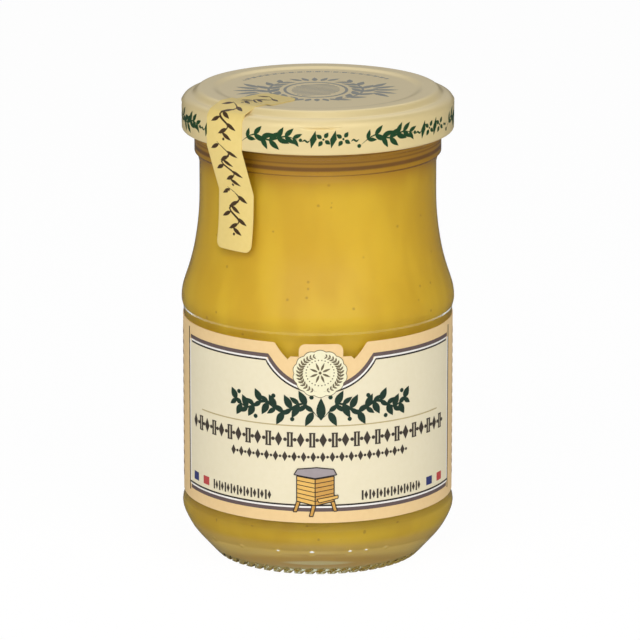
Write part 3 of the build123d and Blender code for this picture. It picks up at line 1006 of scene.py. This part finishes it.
strip_place, strip_length = along_strip(strip_line())
half = STRIP_WIDTH / 2
tip, end = STRIP_TIP_ROUNDING, STRIP_END_ROUNDING
strip_outline = arc_points((tip, half - tip), tip, 180, 90, 8)
strip_outline += arc_points((strip_length - end, half - end), end, 90, 0, 6)
strip_outline += arc_points((strip_length - end, end - half), end, 0, -90, 6)
strip_outline += arc_points((tip, tip - half), tip, 270, 180, 8)
strip_material = print_material("strip_paper", (233, 206, 122), (240, 214, 134), 0.42)
strip = on_strip("seal_strip_paper", [strip_outline], STRIP_THICKNESS, STRIP_THICKNESS, strip_material)
declare(strip, "strip_paper", "seal_strip")

strip_ink = print_material("strip_print", (62, 44, 24), (84, 62, 36), 0.45)
strip_marks = [outline for i in range(STRIP_MOTIFS) for outline in strip_motif(2.4 + i * 11.4)]
strip_print = on_strip("seal_strip_print", strip_marks, 1.6 * PRINT_LIFT, 0.6 * PRINT_LIFT, strip_ink)
declare(strip_print, "strip_paper")


# ------------------------------------------------------------------------
# Table, lamps and camera: a plain white table lit a little from below, soft daylight lamps at a
# plain level, studio walls for the glass and the lacquer, and the camera a little above the jar.
CAMERA_DISTANCE = 1.10147
CAMERA_RISE = 14.27  # degrees above level
CAMERA_AZIMUTH = -1.3  # degrees from the front, towards -X
CAMERA_AIM = 0.053
LENS = 273.7
LAMP_AIM = 0.055
DAYLIGHT = 0.28
TABLE_GLOW = 0.42  # light that comes up through the table
TABLE_SEEN = 0.93  # share of plain white in the table where it is looked at
WALL_DARK, WALL_FRONT, WALL_BEHIND = 0.1, 0.5, 0.4  # strengths of the walls that are reflected
WHITE = (1, 1, 1, 1)


def seen_white(tree):
    """1 where the table and the background are seen, directly or in glass and metal."""
    path = add(tree, "ShaderNodeLightPath").outputs
    seen = math(tree, "MAXIMUM", path["Is Camera Ray"], path["Is Glossy Ray"])
    seen = math(tree, "MAXIMUM", seen, path["Is Transmission Ray"])
    return product(tree, seen, math(tree, "LESS_THAN", path["Diffuse Depth"], 0.5))


def glowing(tree, strength):
    """White light of a strength."""
    return add(tree, "ShaderNodeEmission", {"Color": WHITE, "Strength": strength})


world = bpy.data.worlds.new("studio")
bpy.context.scene.world = world
world.use_nodes = True
world.node_tree.nodes.clear()
level = math(world.node_tree, "MULTIPLY_ADD", seen_white(world.node_tree), 1 - DAYLIGHT, DAYLIGHT)
sky = add(world.node_tree, "ShaderNodeBackground", {"Color": WHITE, "Strength": level})
add(world.node_tree, "ShaderNodeOutputWorld", {0: sky.outputs[0]})

table_material, tree, place = new_material("white_table")
tone = blend(tree, noise(tree, place, 9.0, 2.0), (0.86, 0.86, 0.86, 1), (0.88, 0.88, 0.88, 1))
matte = add(tree, "ShaderNodeBsdfDiffuse", {"Color": tone})
lit = add(tree, "ShaderNodeAddShader", {0: matte.outputs[0], 1: glowing(tree, TABLE_GLOW).outputs[0]})
share = product(tree, seen_white(tree), TABLE_SEEN)
show(tree, add(tree, "ShaderNodeMixShader", {0: share, 1: lit.outputs[0], 2: glowing(tree, 1.0).outputs[0]}))
table_mesh = bpy.data.meshes.new("table")
table_mesh.from_pydata([(-3, -3, 0), (3, -3, 0), (3, 3, 0), (-3, 3, 0)], [], [(0, 1, 2, 3)])
table = new_piece("table", table_mesh, table_material)
table.visible_glossy = False
table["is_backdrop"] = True

# The walls are a dome that only reflections see: pale in front, dark at both sides, pale behind.
wall_material, tree, place = new_material("studio_walls")
x, y, z = add(tree, "ShaderNodeSeparateXYZ", {0: place}).outputs
aside = math(tree, "ABSOLUTE", math(tree, "ARCTAN2", x, product(tree, y, -1)))
low = product(tree, ramp(tree, z, -0.9, -1.5), 0.6)
level = math(tree, "MAXIMUM", ramp(tree, z, 0.0, 0.5), low)
front = product(tree, ramp(tree, aside, radians(60), radians(20)), level, WALL_FRONT - WALL_DARK)
behind = product(tree, ramp(tree, aside, radians(120), radians(165)), ramp(tree, z, 0.1, 0.5),
                 WALL_BEHIND - WALL_DARK, math(tree, "MULTIPLY_ADD", ramp(tree, z, 0.9, 1.5), 2.2, 1))
shine = math(tree, "ADD", math(tree, "ADD", front, behind), WALL_DARK)
show(tree, glowing(tree, shine))
dome = bmesh.new()
bmesh.ops.create_icosphere(dome, subdivisions=4, radius=2.2)
wall_mesh = bpy.data.meshes.new("walls")
dome.to_mesh(wall_mesh)
dome.free()
walls = new_piece("walls", wall_mesh, wall_material)
walls.visible_camera = walls.visible_diffuse = False
walls.visible_transmission = walls.visible_shadow = False
walls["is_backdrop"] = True


def stand(name, data, azimuth, rise, distance, aim):
    """Lamp or camera that faces the jar's axis; azimuth in degrees from the front, towards +X."""
    made = new_piece(name, data)
    turn, up = radians(azimuth), radians(rise)
    away = Vector((sin(turn) * cos(up), -cos(turn) * cos(up), sin(up)))
    made.location = Vector((0, 0, aim)) + away * distance
    made.rotation_euler = away.to_track_quat("Z", "Y").to_euler()
    return made


# Azimuth and rise in degrees, distance and width in metres, and watts of each soft box.
for name, azimuth, rise, distance, width, watts in (
    ("key_lamp", -29, 30, 0.9, 0.6, 3.1),
    ("fill_lamp", 30, 30, 0.9, 0.6, 2.45),
    ("low_lamp", 4, 7, 0.9, 0.3, 0.15),
    ("overhead_lamp", 0, 88, 0.8, 0.6, 0.25),
):
    light = bpy.data.lights.new(name, "AREA")
    light.size = width
    light.energy = watts
    lamp = stand(name, light, azimuth, rise, distance, LAMP_AIM)
    lamp.visible_glossy = name == "overhead_lamp"

camera_data = bpy.data.cameras.new("camera")
camera_data.lens = LENS
camera_data.sensor_width = 36
camera_data.shift_x = 0.0033
camera = stand("camera", camera_data, CAMERA_AZIMUTH, CAMERA_RISE, CAMERA_DISTANCE, CAMERA_AIM)
bpy.context.scene.camera = camera
bpy.context.scene.view_settings.view_transform = "Standard"

low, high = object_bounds()
